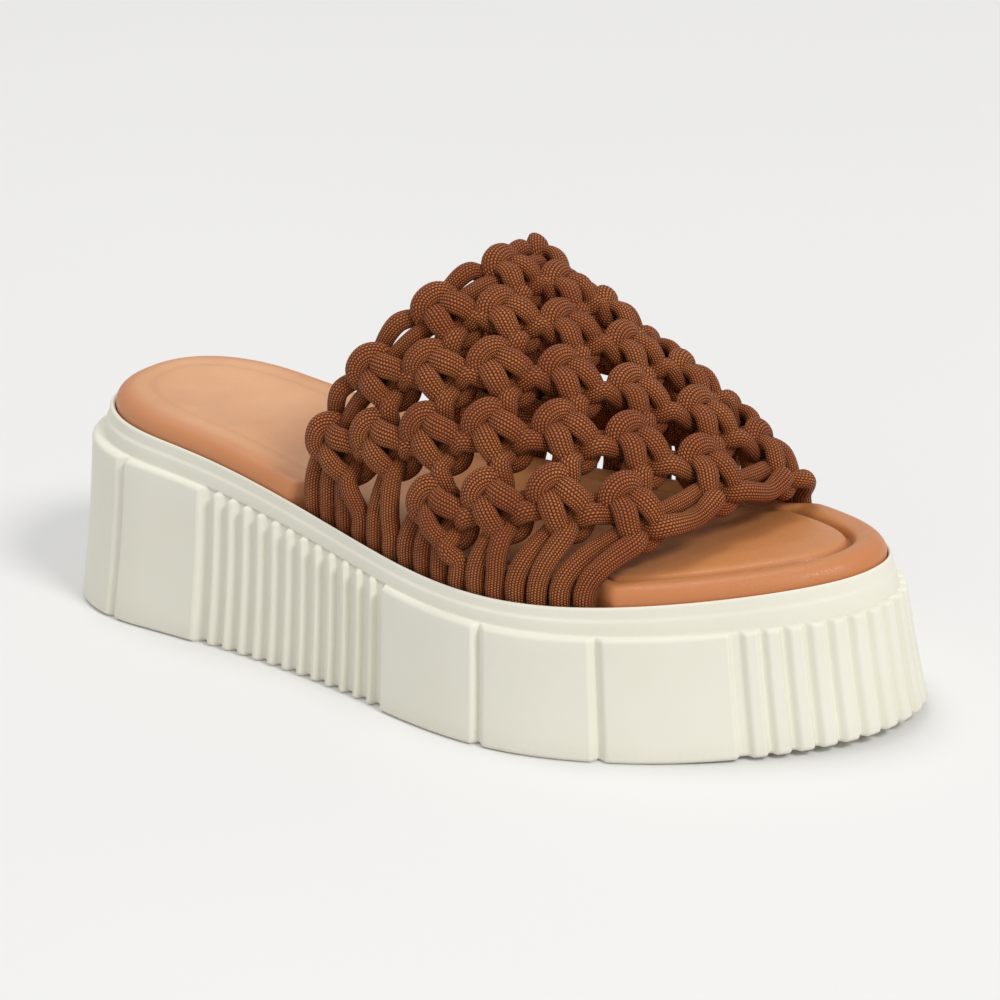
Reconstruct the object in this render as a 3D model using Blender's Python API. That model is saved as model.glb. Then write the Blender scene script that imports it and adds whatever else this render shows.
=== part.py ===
"""Platform sandal, right shoe: a moulded platform sole, a padded footbed set in it and a knotted-cord band.

The toe points to +X, the lateral side to -Y, and the shoe stands on z = 0. Lengths are in metres.
"""

import math

import bmesh
import bpy
import numpy as np
from mathutils.geometry import delaunay_2d_cdt

# Driving sizes of the last and of the platform
FOOTBED_LENGTH = 0.250
PLAN_WIDTH = 0.098
HEEL_HEIGHT = 0.0575
# Height of the band over the sole rim, at its heel edge
INSTEP_HEIGHT = 0.0670
CLEARANCE = 0.0003

# Plan of the footbed: share of the length, then centre line and half width as shares of the plan width
PLAN = (
    (0.00, 0.000, 0.302),
    (0.20, -0.038, 0.301),
    (0.45, -0.055, 0.379),
    (0.70, 0.001, 0.524),
    (1.00, 0.067, 0.420),
)
HEEL_ROUND = 0.16
HEEL_ROUND_POWER = 2.33
TOE_ROUND = 0.49
TOE_ROUND_POWER = 2.22

# Top rim of the sole: station, height as a share of the heel height
RIM = ((0.00, 1.000), (0.25, 0.904), (0.50, 0.730), (0.70, 0.666), (1.00, 0.772))

# Side of the sole: station, ledge width and wall flare as shares of the side reach, share of the ledge drop
SIDE_REACH = 0.007
LEDGE_DROP = 0.0090
SIDE = (
    (0.00, 1.00, 0.88, 0.97),
    (0.30, 0.62, 0.66, 0.89),
    (0.50, 0.66, 0.60, 0.84),
    (0.70, 0.96, 0.76, 0.80),
    (1.00, 0.74, 0.66, 1.07),
)
TOE_SPRING = 0.0030
TOE_SPRING_START = 0.80
FOOT_CHAMFER = 0.0010
WALL_MIDDLE = 0.50
MIDDLE_FLARE = 0.42

# Rim steps above the wall: share of the ledge width outward, share of the ledge drop below the rim
RIM_STEPS = (
    (0.46, 0.74),
    (0.40, 0.46),
    (0.27, 0.38),
    (0.22, 0.07),
    (0.12, 0.00),
)
CROWN_WIDTH = 0.0009
CROWN_RISE = 0.0007
GROOVE_DEPTH = 0.0023
GROOVE_RISE = 0.0006
GROOVE_SHARE = 0.52
LIP_DROP = 0.05
RECESS_DEPTH = 0.0060
MIN_LEDGE = 0.0036

# Relief of the side: V-grooves by station, ribbed zones by first and last station
V_GROOVES = {-1: (0.110, 0.660, 0.785), 1: (0.110, 0.690, 0.817)}
V_WIDTH = 0.0040
V_DEPTH = 0.0021
ARCH_RIBS = {-1: (0.229, 0.524), 1: (0.262, 0.549)}
ARCH_RIB_COUNT = 12
ARCH_RIB_TOP = 0.0014
ARCH_RIB_FOOT = 0.0030
ARCH_RIB_SET_BACK = 0.0007
ARCH_VALLEY_DEPTH = 0.0022
TOE_RIB_START = {-1: 0.900, 1: 0.945}
TOE_RIB_COUNT = 12
TOE_RIB_TOP = 0.0032
TOE_RIB_FOOT = 0.0048
TOE_VALLEY_DEPTH = 0.0017
PANEL_STEP = 0.0075
PLAIN_STEP = 0.0052
MERGE_STEP = 0.0047
FINE_STATIONS = (0.14, 0.955)

# Footbed: height over the rim at heel and toe, padded roll, stitched channel and heel seat
PAD_HEEL = 0.0046
PAD_TOE = 0.0042
PAD_ROUND = 0.0042
ROLL_WIDTH = 0.0100
CHANNEL_WIDTH = 0.0030
CHANNEL_DEPTH = 0.0011
CHANNEL_START = 0.62
CHANNEL_FULL = 0.74
SEAT_DEPTH = 0.0016
SEAT_END = 0.45
PAD_CHAMFER = 0.0010
ROUND_SHARE = 1.0 - math.sqrt(0.5)
# Top of the footbed inside its edge: inset, fall below the pad, share of the channel, share of the seat
PAD_TOP = (
    (ROLL_WIDTH - CHANNEL_WIDTH / 2, 0.0003, 0.0, 0.0),
    (ROLL_WIDTH, 0.0004, 1.0, 0.0),
    (ROLL_WIDTH + CHANNEL_WIDTH / 2, 0.0006, 0.0, 0.3),
    (ROLL_WIDTH + 4 * CHANNEL_WIDTH, 0.0012, 0.0, 1.0),
)
PAD_STEPS = 84
PAD_MIN_STEP = 0.0022
NOTCH_GAP = 0.0012
NOTCH_MARGIN = 0.0030
NOTCH_EASE = 0.0050
NOTCH_INNER = 0.60
SLOPE_STEP = 0.004
STEEPEST_TURN = 1.4

# Band: stations of its two edges on each side, lateral then medial
BAND_EDGE = {-1: (0.372, 0.784), 1: (0.376, 0.832)}
WALL = 0.0046
KNOT_WALL = 0.0066
CREST_STATION = (0.526, 0.836)
CREST_SIDEWAYS = (0.102, 0.020)
# Crest line: share of the way from the heel edge to the toe edge, rise over the rim as one of the instep height
CREST = ((0.00, 1.000), (0.25, 0.901), (0.50, 0.748), (0.75, 0.558), (1.00, 0.294))
# Sides of the arch, lateral then medial: fullness, forward lean, outward bulge at the heel and toe edges
ARCH_FULLNESS = (2.6, 3.5)
ARCH_TOP_POWER = 1.85
LEAN_POWER = (1.90, 2.40)
HEEL_EDGE_BULGE = (0.0160, 0.0025)
TOE_EDGE_BULGE = (0.0010, 0.0010)
SECTION_STEPS = 72
SIDE_BLEND = 4.0
PROBE_ACROSS = 0.0015
PROBE_ALONG = 0.02
UPRIGHT_REACH = 0.010
THICKEN_REACH = 0.015

# Knot net: columns from heel to toe, rows from the lateral to the medial side
COLUMNS = 7
COLUMN_PITCH = 0.0145
# Distance between knots of one column, as a share of the heel edge, at the first and last column
ROW_PITCH = (0.1027, 0.1452)
MIDDLE_ROW = (3.5, 3.0)
FIRST_ROW = (0.0, 0.5, 1.0, 0.5, 1.0, 1.5, 2.0)
LAST_ROW = (7.0, 6.5, 6.0, 5.5, 5.0, 4.5, 4.0)
LEGS = 16
HOLE_ALONG = 0.0034
HOLE_ACROSS = 0.0031
SLIT_ALONG = 0.0017
SLIT_ACROSS = 0.0056
SLIT_SHIFT = 0.06
SLOT_HALF_WIDTH = 0.0009
SLOT_FOOT = 0.0015
SLOT_POINT = 0.0012
KNOT_REACH = 0.0085
KNOT_ALONG = 0.0052
KNOT_ACROSS = 0.0056
KNOT_DROP = 0.0008
STRIP_DROP = 0.0019
HOLE_DROP = 0.0031
LEG_DROP = 0.0002
LEG_SHARES = (0.04, 0.35, 0.70, 1.00)
EDGE_DROP = 0.0012
EDGE_WAVE = 0.0010
EDGE_STEP = 0.0072
EDGE_ROWS = 0.6

MATERIALS = {
    "sole": ((0.76, 0.74, 0.64, 1.0), 0.55),
    "footbed": ((0.60, 0.27, 0.12, 1.0), 0.48),
    "upper": ((0.23, 0.075, 0.028, 1.0), 0.72),
}


def spline(table, column, where):
    """Natural cubic spline through one column of a table, at the stations asked for."""
    xs = np.array([row[0] for row in table])
    ys = np.array([row[column] for row in table])
    gaps = np.diff(xs)
    slopes = np.diff(ys) / gaps
    count = len(xs)
    system = np.eye(count)
    right = np.zeros(count)
    for i in range(1, count - 1):
        system[i, i - 1] = gaps[i - 1]
        system[i, i] = 2.0 * (gaps[i - 1] + gaps[i])
        system[i, i + 1] = gaps[i]
        right[i] = 6.0 * (slopes[i] - slopes[i - 1])
    bends = np.linalg.solve(system, right)
    where = np.asarray(where, dtype=float)
    i = np.clip(np.searchsorted(xs, where) - 1, 0, count - 2)
    before = where - xs[i]
    after = xs[i + 1] - where
    curve = (bends[i] * after**3 + bends[i + 1] * before**3) / (6.0 * gaps[i])
    line = (ys[i] / gaps[i] - bends[i] * gaps[i] / 6.0) * after
    return curve + line + (ys[i + 1] / gaps[i] - bends[i + 1] * gaps[i] / 6.0) * before


def end_rounding(station):
    """Share of the half width that is left near the heel and toe ends."""
    station = np.asarray(station, dtype=float)
    heel = np.clip((HEEL_ROUND - station) / HEEL_ROUND, 0.0, 1.0) ** HEEL_ROUND_POWER
    toe = np.clip((station - 1.0 + TOE_ROUND) / TOE_ROUND, 0.0, 1.0) ** TOE_ROUND_POWER
    return (1.0 - heel) ** (1.0 / HEEL_ROUND_POWER) * (1.0 - toe) ** (1.0 / TOE_ROUND_POWER)


def plan_point(side, station, grow):
    """Point of the plan outline, grown outward by a length; side is -1 lateral, +1 medial."""
    station = np.asarray(station, dtype=float)
    x = -FOOTBED_LENGTH / 2 - grow + station * (FOOTBED_LENGTH + 2 * grow)
    half = spline(PLAN, 2, station) * PLAN_WIDTH + grow
    y = spline(PLAN, 1, station) * PLAN_WIDTH + side * half * end_rounding(station)
    return x, y


def rim_height(station):
    return spline(RIM, 1, station) * HEEL_HEIGHT


def ledge_width(station):
    return np.maximum(spline(SIDE, 1, station) * SIDE_REACH, MIN_LEDGE)


def wall_flare(station):
    return spline(SIDE, 2, station) * SIDE_REACH


def ledge_drop(station):
    return spline(SIDE, 3, station) * LEDGE_DROP


def floor_height(station):
    share = np.clip((np.asarray(station) - TOE_SPRING_START) / (1.0 - TOE_SPRING_START), 0.0, 1.0)
    return TOE_SPRING * share**2


def centre_shift():
    """Move that brings the sole's box to the middle of the frame."""
    station = np.linspace(0.0, 1.0, 401)
    grow = ledge_width(station) + wall_flare(station)
    x = np.concatenate([plan_point(side, station, grow)[0] for side in (-1, 1)])
    y = np.concatenate([plan_point(side, station, grow)[1] for side in (-1, 1)])
    return -(x.min() + x.max()) / 2, -(y.min() + y.max()) / 2


SHIFT = centre_shift()


def perimeter(grow_of, count=1200):
    """Closed outline as arrays of side, station and length, heel to toe and back on the medial side."""
    angle = np.linspace(0.0, math.pi, count)
    station = 0.5 - 0.5 * np.cos(angle)
    sides = np.concatenate([np.full(count, -1), np.full(count - 1, 1)])
    stations = np.concatenate([station, station[::-1][1:]])
    lateral = np.stack(plan_point(-1, station, grow_of(station)), axis=1)
    medial = np.stack(plan_point(1, station, grow_of(station)), axis=1)[::-1][1:]
    points = np.concatenate([lateral, medial])
    length = np.concatenate([[0.0], np.cumsum(np.linalg.norm(np.diff(points, axis=0), axis=1))])
    return sides, stations, length


def relief_samples():
    """Places round the side of the sole, with how far each is set back from the panels."""
    sides, stations, length = perimeter(ledge_width)
    lateral = sides < 0
    toe = length[lateral][-1]

    def at(side, station):
        if side < 0:
            return float(np.interp(station, stations[lateral], length[lateral]))
        return float(np.interp(-station, -stations[~lateral], length[~lateral]))

    marks = [(0.0, 0.0)]
    busy = []
    for side, places in V_GROOVES.items():
        for place in places:
            middle = at(side, place)
            marks += [(middle - V_WIDTH / 2, 0.0), (middle, V_DEPTH), (middle + V_WIDTH / 2, 0.0)]
            busy.append((middle - V_WIDTH, middle + V_WIDTH))

    def ribs(start, end, count, top, foot, ridge, valley):
        pitch = (end - start) / (count + 1)
        edge = (foot - top) / 2
        rows = [(start, 0.0), (start + edge, valley)]
        for k in range(1, count + 1):
            middle = start + k * pitch
            rows += [(middle - foot / 2, valley), (middle - top / 2, ridge)]
            rows += [(middle + top / 2, ridge), (middle + foot / 2, valley)]
        rows += [(end - edge, valley), (end, 0.0)]
        busy.append((start - edge, end + edge))
        return rows

    for side, (first, last) in ARCH_RIBS.items():
        ends = sorted((at(side, first), at(side, last)))
        shape = (ARCH_RIB_TOP, ARCH_RIB_FOOT, ARCH_RIB_SET_BACK, ARCH_VALLEY_DEPTH)
        marks += ribs(*ends, ARCH_RIB_COUNT, *shape)
    ends = (at(-1, TOE_RIB_START[-1]), at(1, TOE_RIB_START[1]))
    marks += ribs(*ends, TOE_RIB_COUNT, TOE_RIB_TOP, TOE_RIB_FOOT, 0.0, TOE_VALLEY_DEPTH)

    marks = sorted(set(marks))
    filled = []
    for (here, depth), (there, _) in zip(marks, marks[1:] + [(length[-1], 0.0)]):
        filled.append((here, depth))
        inside = any(low <= (here + there) / 2 <= high for low, high in busy)
        share = float(np.interp(here, length, stations))
        step = PANEL_STEP if FINE_STATIONS[0] < share < FINE_STATIONS[1] else PLAIN_STEP
        count = 0 if inside else int((there - here) / step)
        filled += [(here + (there - here) * k / (count + 1), 0.0) for k in range(1, count + 1)]
    place = np.array([row[0] for row in filled])
    depth = np.array([row[1] for row in filled])
    side = np.where(place <= toe, -1, 1)
    station = np.where(
        side < 0,
        np.interp(place, length[lateral], stations[lateral]),
        np.interp(place, length[~lateral], stations[~lateral]),
    )
    return side, station, depth, place


def ring(side, station, grow, height):
    """Corners of one level of a lofted piece, in the shoe's frame."""
    points = np.zeros((len(station), 3))
    for this in (-1, 1):
        chosen = side == this
        x, y = plan_point(this, station[chosen], grow[chosen])
        points[chosen, 0] = x + SHIFT[0]
        points[chosen, 1] = y + SHIFT[1]
    points[:, 2] = height
    return points


def zip_cap(ring_ids, points):
    """Triangles across a closed ring, from its two sides, heel to toe."""
    xs = points[ring_ids, 0]
    heel = int(np.argmin(xs))
    toe = int(np.argmax(xs))
    count = len(ring_ids)
    one = [ring_ids[(heel + k) % count] for k in range((toe - heel) % count + 1)]
    two = [ring_ids[(heel - k) % count] for k in range((heel - toe) % count + 1)]
    faces = []
    i = j = 0
    while i < len(one) - 1 or j < len(two) - 1:
        go_one = j == len(two) - 1 or (i < len(one) - 1 and points[one[i + 1], 0] <= points[two[j + 1], 0])
        if go_one:
            corners = (one[i], one[i + 1], two[j])
            i += 1
        else:
            corners = (one[i], two[j + 1], two[j])
            j += 1
        if len(set(corners)) == 3:
            faces.append(corners)
    return faces


def loft(levels, keeps):
    """Closed solid through stacked rings; a ring may use only some of the corners of the first."""
    points = np.concatenate(levels)
    starts = np.cumsum([0] + [len(level) for level in levels])
    ids = [np.arange(starts[i], starts[i + 1]) for i in range(len(levels))]
    faces = []
    for low, high, low_keep, high_keep in zip(ids, ids[1:], keeps, keeps[1:]):
        position = {corner: k for k, corner in enumerate(low_keep)}
        count = len(high_keep)
        for k in range(count):
            a = position[high_keep[k]]
            b = position[high_keep[(k + 1) % count]]
            span = (b - a) % len(low_keep)
            base = [low[(a + step) % len(low_keep)] for step in range(span + 1)]
            faces.append(tuple(int(v) for v in base + [high[(k + 1) % count], high[k]]))
    faces += [tuple(int(v) for v in face[::-1]) for face in zip_cap(ids[0], points)]
    faces += [tuple(int(v) for v in face) for face in zip_cap(ids[-1], points)]
    return points, faces


def sole_shape():
    side, station, depth, place = relief_samples()
    everything = list(range(len(station)))
    rim = rim_height(station)
    ledge = ledge_width(station)
    drop = ledge_drop(station)
    flare = wall_flare(station)
    floor = floor_height(station)
    wall_top = rim - drop
    middle = floor + WALL_MIDDLE * (wall_top - floor)
    levels = [
        ring(side, station, ledge + flare - FOOT_CHAMFER - depth, floor),
        ring(side, station, ledge + flare - depth, floor + FOOT_CHAMFER),
        ring(side, station, ledge + MIDDLE_FLARE * flare - depth, middle),
        ring(side, station, ledge - depth, wall_top),
        ring(side, station, ledge - np.maximum(depth, 0.0) - CROWN_WIDTH, wall_top + CROWN_RISE),
    ]
    keeps = [everything] * len(levels)
    kept = [0]
    for k in everything[1:]:
        if place[k] - place[kept[-1]] >= MERGE_STEP:
            kept.append(k)
    side, station = side[kept], station[kept]
    rim, ledge, drop, wall_top = rim[kept], ledge[kept], drop[kept], wall_top[kept]
    groove = np.minimum(ledge - GROOVE_DEPTH, ledge * GROOVE_SHARE)
    levels.append(ring(side, station, groove, wall_top + GROOVE_RISE))
    for out, down in RIM_STEPS:
        levels.append(ring(side, station, CLEARANCE + out * (ledge - CLEARANCE), rim - down * drop))
    inner = np.full(len(station), CLEARANCE)
    levels.append(ring(side, station, inner, rim - LIP_DROP * drop))
    levels.append(ring(side, station, inner, rim - RECESS_DEPTH))
    keeps += [kept] * (len(levels) - len(keeps))
    return loft(levels, keeps)


def band_notch(side, station):
    """How far the footbed is set in beside the band, with eased ends."""
    first = np.where(side < 0, BAND_EDGE[-1][0], BAND_EDGE[1][0])
    last = np.where(side < 0, BAND_EDGE[-1][1], BAND_EDGE[1][1])
    margin = NOTCH_MARGIN / FOOTBED_LENGTH
    ease = NOTCH_EASE / FOOTBED_LENGTH
    inside = np.minimum(station - first + margin, last + margin - station)
    turned = np.zeros(len(station))
    for this in (-1, 1):
        chosen = side == this
        ahead = np.stack(plan_point(this, np.clip(station[chosen] + SLOPE_STEP, 0.0, 1.0), 0.0))
        behind = np.stack(plan_point(this, np.clip(station[chosen] - SLOPE_STEP, 0.0, 1.0), 0.0))
        turned[chosen] = np.hypot(*(ahead - behind)) / np.maximum(ahead[0] - behind[0], 1e-6)
    turned = np.clip(turned, 1.0, STEEPEST_TURN)
    return (WALL * turned + NOTCH_GAP) * np.clip(inside / ease + 1.0, 0.0, 1.0)


def footbed_shape():
    sides, stations, length = perimeter(lambda station: 0.0 * station)
    place = np.linspace(0.0, length[-1], PAD_STEPS, endpoint=False)
    extra = []
    lateral = sides < 0
    for which, mask in ((-1, lateral), (1, ~lateral)):
        for edge, outward in zip(BAND_EDGE[which], (-1, 1)):
            for reach in (NOTCH_MARGIN, NOTCH_MARGIN + NOTCH_EASE):
                target = edge + outward * reach / FOOTBED_LENGTH
                extra.append(float(np.interp(-which * target, -which * stations[mask], length[mask])))
    place = [spot for spot in place if all(abs(spot - other) > PAD_MIN_STEP for other in extra)]
    place = np.array(sorted(place + extra))
    toe = length[lateral][-1]
    side = np.where(place <= toe, -1, 1)
    station = np.where(
        side < 0,
        np.interp(place, length[lateral], stations[lateral]),
        np.interp(place, length[~lateral], stations[~lateral]),
    )
    notch = band_notch(side, station)
    rim = rim_height(station)
    pad = PAD_HEEL + (PAD_TOE - PAD_HEEL) * station
    channel = CHANNEL_DEPTH * np.clip((station - CHANNEL_START) / (CHANNEL_FULL - CHANNEL_START), 0.0, 1.0)
    seat = SEAT_DEPTH * np.clip(1.0 - station / SEAT_END, 0.0, 1.0)
    bottom = rim - RECESS_DEPTH + CLEARANCE
    top = rim + pad
    rows = [
        (PAD_CHAMFER, bottom),
        (0.0, bottom + PAD_CHAMFER),
        (0.0, top - PAD_ROUND),
        (ROUND_SHARE * PAD_ROUND, top - ROUND_SHARE * PAD_ROUND),
        (PAD_ROUND, top),
    ]
    for inset, fall, of_channel, of_seat in PAD_TOP:
        rows.append((inset, top - fall - of_channel * channel - of_seat * seat))
    levels = []
    for inset, height in rows:
        grow = -inset - notch * (1.0 if inset <= ROLL_WIDTH else NOTCH_INNER)
        levels.append(ring(side, station, grow, height))
    return loft(levels, [list(range(len(station)))] * len(levels))


class Band:
    """Outer face of the band: along runs from the heel edge to the toe edge, across from side to side."""

    def __init__(self):
        self.cache = {}

    def base(self, side, along):
        first, last = BAND_EDGE[side]
        station = first + (last - first) * along
        x, y = plan_point(side, station, 0.0)
        return np.array([float(x), float(y), float(rim_height(station))])

    def section(self, along):
        key = round(float(along), 6)
        if key in self.cache:
            return self.cache[key]
        lateral = self.base(-1, along)
        medial = self.base(1, along)
        turn = np.linspace(0.0, math.pi, SECTION_STEPS + 1)
        sweep = -np.cos(turn)
        rise = np.clip(np.sin(turn), 0.0, 1.0)
        towards_medial = 0.5 + 0.5 * np.tanh(SIDE_BLEND * sweep)

        def blend(pair):
            return pair[0] + (pair[1] - pair[0]) * towards_medial

        over = np.sign(sweep) * np.abs(sweep) ** (2.0 / blend(ARCH_FULLNESS))
        up = rise ** (2.0 / ARCH_TOP_POWER)
        points = lateral + (medial - lateral) * ((over + 1.0) / 2.0)[:, None]
        middle = (lateral + medial) / 2
        crest = CREST_STATION[0] + (CREST_STATION[1] - CREST_STATION[0]) * along
        sideways = (CREST_SIDEWAYS[0] + (CREST_SIDEWAYS[1] - CREST_SIDEWAYS[0]) * along) * PLAN_WIDTH
        rise_here = float(spline(CREST, 1, along)) * INSTEP_HEIGHT
        bulge = blend(HEEL_EDGE_BULGE) * (1.0 - along) + blend(TOE_EDGE_BULGE) * along
        points[:, 0] += ((crest - 0.5) * FOOTBED_LENGTH - middle[0]) * up ** blend(LEAN_POWER)
        points[:, 1] += (sideways - middle[1]) * up + over * bulge * rise
        points[:, 2] += rise_here * up
        length = np.concatenate([[0.0], np.cumsum(np.linalg.norm(np.diff(points, axis=0), axis=1))])
        self.cache[key] = (points, length)
        return self.cache[key]

    def length(self, along):
        return self.section(along)[1][-1]

    def on_face(self, along, across):
        """Point of the outer face, across from the lateral foot; below a foot it drops straight down."""
        points, length = self.section(along)
        inside = min(max(across, 0.0), length[-1])
        point = np.array([np.interp(inside, length, points[:, k]) for k in range(3)])
        point[2] += min(across, 0.0) + min(length[-1] - across, 0.0)
        return point

    def place(self, along, across, depth):
        """Point at a depth under the outer face."""
        total = self.length(along)
        on_band = min(max(across, PROBE_ACROSS), total - PROBE_ACROSS)
        low = max(along - PROBE_ALONG, 0.0)
        high = min(along + PROBE_ALONG, 1.0)
        share = on_band / total
        lengthwise = self.on_face(high, share * self.length(high))
        lengthwise -= self.on_face(low, share * self.length(low))
        crosswise = self.on_face(along, on_band + PROBE_ACROSS)
        crosswise -= self.on_face(along, on_band - PROBE_ACROSS)
        normal = np.cross(lengthwise, crosswise)
        normal /= np.linalg.norm(normal)
        foot = min(across, total - across)
        flat = np.array([normal[0], normal[1], 0.0])
        flat /= np.linalg.norm(flat)
        blend = min(max(foot / UPRIGHT_REACH, 0.0), 1.0)
        normal = normal * blend + flat * (1.0 - blend)
        normal /= np.linalg.norm(normal)
        return self.on_face(along, across) - normal * depth


def mix(pair, column):
    return pair[0] + (pair[1] - pair[0]) * (column - 1.0) / (COLUMNS - 1.0)


def row_pitch(band, column):
    return mix(ROW_PITCH, column) * band.length(0.0)


def net_place(band, column, row):
    """Surface coordinates of a place in the knot net."""
    along = (column - 0.5) / COLUMNS
    across = band.length(along) / 2 + (row - mix(MIDDLE_ROW, column)) * row_pitch(band, column)
    return along, across


def knots():
    for column in range(1, COLUMNS + 1):
        row = FIRST_ROW[column - 1]
        while row <= LAST_ROW[column - 1]:
            yield column, row
            row += 1.0


def foot_place(band, side, along, up):
    """Place in the band's plan, measured up from the foot of one side."""
    return up if side < 0 else band.length(along) - up


def band_plan(band):
    """Loops and loose points of the band, as (along, across, depth of the outer face)."""
    per_metre = 1.0 / (COLUMNS * COLUMN_PITCH)
    tied = set(knots())
    holes = []
    loose = []
    centres = []

    def oval(along, across, half_along, half_across, depth, count=6):
        turns = [2.0 * math.pi * k / count for k in range(count)]
        reach = half_along * per_metre
        return [(along + reach * math.sin(a), across + half_across * math.cos(a), depth) for a in turns]

    for column, row in sorted(tied):
        along, across = net_place(band, column, row)
        centres.append((along, across, 0.0))
        loose.append((along, across, 0.0))
        loose += oval(along, across, KNOT_ALONG, KNOT_ACROSS, KNOT_DROP)
        for right, up in ((1, 0.5), (1, -0.5)):
            if (column + right, row + up) in tied:
                loose.append((*net_place(band, column + right / 2, row + up / 2), STRIP_DROP))
        beside = [(column - 1, row + 0.5), (column + 1, row + 0.5), (column, row + 1.0)]
        if all(spot in tied for spot in beside):
            holes.append(oval(*net_place(band, column, row + 0.5), HOLE_ALONG, HOLE_ACROSS, HOLE_DROP))
        if column in (1, COLUMNS) and (column, row + 1.0) in tied:
            outward = SLIT_SHIFT if column == COLUMNS else -SLIT_SHIFT
            spot = net_place(band, column + outward, row + 0.5)
            holes.append(oval(*spot, SLIT_ALONG, SLIT_ACROSS, HOLE_DROP))

    columns = np.arange(1, COLUMNS + 1)
    lowest = [net_place(band, c, FIRST_ROW[c - 1])[1] for c in columns]
    highest = [band.length((c - 0.5) / COLUMNS) - net_place(band, c, LAST_ROW[c - 1])[1] for c in columns]
    for side, reach in ((-1, lowest), (1, highest)):
        for k in range(1, LEGS):
            along = k / LEGS
            column = along * COLUMNS + 0.5
            top = float(np.interp(column, columns, reach)) - KNOT_REACH
            half = SLOT_HALF_WIDTH * per_metre
            low = SLOT_FOOT + SLOT_POINT
            high = top - 2 * SLOT_POINT
            shape = [(0.0, SLOT_FOOT), (half, low), (half, high), (0.0, top), (-half, high), (-half, low)]
            loop = [(along + a, foot_place(band, side, along + a, up), HOLE_DROP) for a, up in shape]
            holes.append(loop if side < 0 else loop[::-1])
        for k in range(LEGS):
            along = (k + 0.5) / LEGS
            column = min(max(along * COLUMNS + 0.5, 1.0), COLUMNS)
            top = float(np.interp(column, columns, reach)) - KNOT_REACH
            for share in LEG_SHARES:
                loose.append((along, foot_place(band, side, along, share * top), LEG_DROP))

    tuck = RECESS_DEPTH - CLEARANCE
    reach = EDGE_WAVE * per_metre
    rim_loop = []
    for k in range(LEGS + 1):
        rim_loop.append((k / LEGS, -tuck, CLEARANCE))
    total = band.length(1.0)
    count = int(total / EDGE_STEP)
    for k in range(1, count):
        across = total * k / count
        row = mix(MIDDLE_ROW, COLUMNS + 0.5) + (across - total / 2) / row_pitch(band, COLUMNS + 0.5)
        inside = LAST_ROW[-1] + EDGE_ROWS > row > FIRST_ROW[-1] - EDGE_ROWS
        wave = reach * math.cos(2 * math.pi * row) if inside else 0.0
        rim_loop.append((1.0 - reach + wave, across, EDGE_DROP))
    for k in range(LEGS, -1, -1):
        rim_loop.append((k / LEGS, band.length(k / LEGS) + tuck, CLEARANCE))
    total = band.length(0.0)
    count = int(total / EDGE_STEP)
    for k in range(count - 1, 0, -1):
        across = total * k / count
        row = mix(MIDDLE_ROW, 0.5) + (across - total / 2) / row_pitch(band, 0.5)
        inside = LAST_ROW[0] + EDGE_ROWS > row > FIRST_ROW[0] - EDGE_ROWS
        wave = reach * math.cos(2 * math.pi * row) if inside else 0.0
        rim_loop.append((reach - wave, across, EDGE_DROP))
    return rim_loop, holes, loose, centres


def triangulate(band, loops, points):
    """Triangles over the band's plan, outside the holes, by the corner numbers given."""
    flat = [spot for loop in loops for spot in loop] + list(points)
    places = []
    for along, across, _ in flat:
        half = band.length(min(max(along, 0.0), 1.0)) / 2
        places.append(((along - 0.5) * COLUMNS * COLUMN_PITCH, across - half))
    edges = []
    owner = {}
    start = 0
    for number, loop in enumerate(loops):
        for k in range(len(loop)):
            edges.append((start + k, start + (k + 1) % len(loop)))
            owner[start + k] = number
        start += len(loop)
    _, _, faces, origins, _, _ = delaunay_2d_cdt(places, edges, [], 1, 1e-7)
    result = []
    for face in faces:
        corners = [origins[v][0] for v in face]
        owners = {owner.get(v, -1) for v in corners}
        if len(owners) == 1 and next(iter(owners)) > 0:
            continue
        result.append(corners)
    return result


def upper_shape():
    band = Band()
    rim_loop, holes, loose, centres = band_plan(band)
    loops = [rim_loop] + holes
    outer = [spot for loop in loops for spot in loop]
    shared = len(outer)
    outer_faces = triangulate(band, loops, loose)
    inner_faces = triangulate(band, loops, centres)
    outer_points = [band.place(*spot) for spot in outer + loose]
    inner_points = []
    for along, across, _ in outer + centres:
        foot = min(across, band.length(min(max(along, 0.0), 1.0)) - across)
        thick = WALL + (KNOT_WALL - WALL) * min(max((foot - UPRIGHT_REACH) / THICKEN_REACH, 0.0), 1.0)
        inner_points.append(band.place(along, across, thick))
    points = np.array(outer_points + inner_points)
    points[:, 0] += SHIFT[0]
    points[:, 1] += SHIFT[1]
    offset = len(outer_points)
    faces = [tuple(face) for face in outer_faces]
    faces += [tuple(offset + v for v in face[::-1]) for face in inner_faces]
    start = 0
    for loop in loops:
        for k in range(len(loop)):
            a = start + k
            b = start + (k + 1) % len(loop)
            faces.append((a, b, offset + b, offset + a))
        start += len(loop)
    return points, faces


def make_object(name, shape, collection):
    points, faces = shape
    mesh = bpy.data.meshes.new(name)
    mesh.from_pydata([tuple(float(v) for v in point) for point in points], [], faces)
    colour, roughness = MATERIALS[name]
    material = bpy.data.materials.new(name)
    material.use_nodes = True
    surface = material.node_tree.nodes["Principled BSDF"]
    surface.inputs["Base Color"].default_value = colour
    surface.inputs["Roughness"].default_value = roughness
    surface.inputs["Metallic"].default_value = 0.0
    mesh.materials.append(material)
    made = bmesh.new()
    made.from_mesh(mesh)
    bmesh.ops.triangulate(made, faces=made.faces, quad_method="BEAUTY", ngon_method="BEAUTY")
    bmesh.ops.recalc_face_normals(made, faces=made.faces)
    made.to_mesh(mesh)
    made.free()
    mesh.shade_smooth()
    mesh.set_sharp_from_angle(angle=math.radians(35))
    obj = bpy.data.objects.new(name, mesh)
    collection.objects.link(obj)
    return obj


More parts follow.
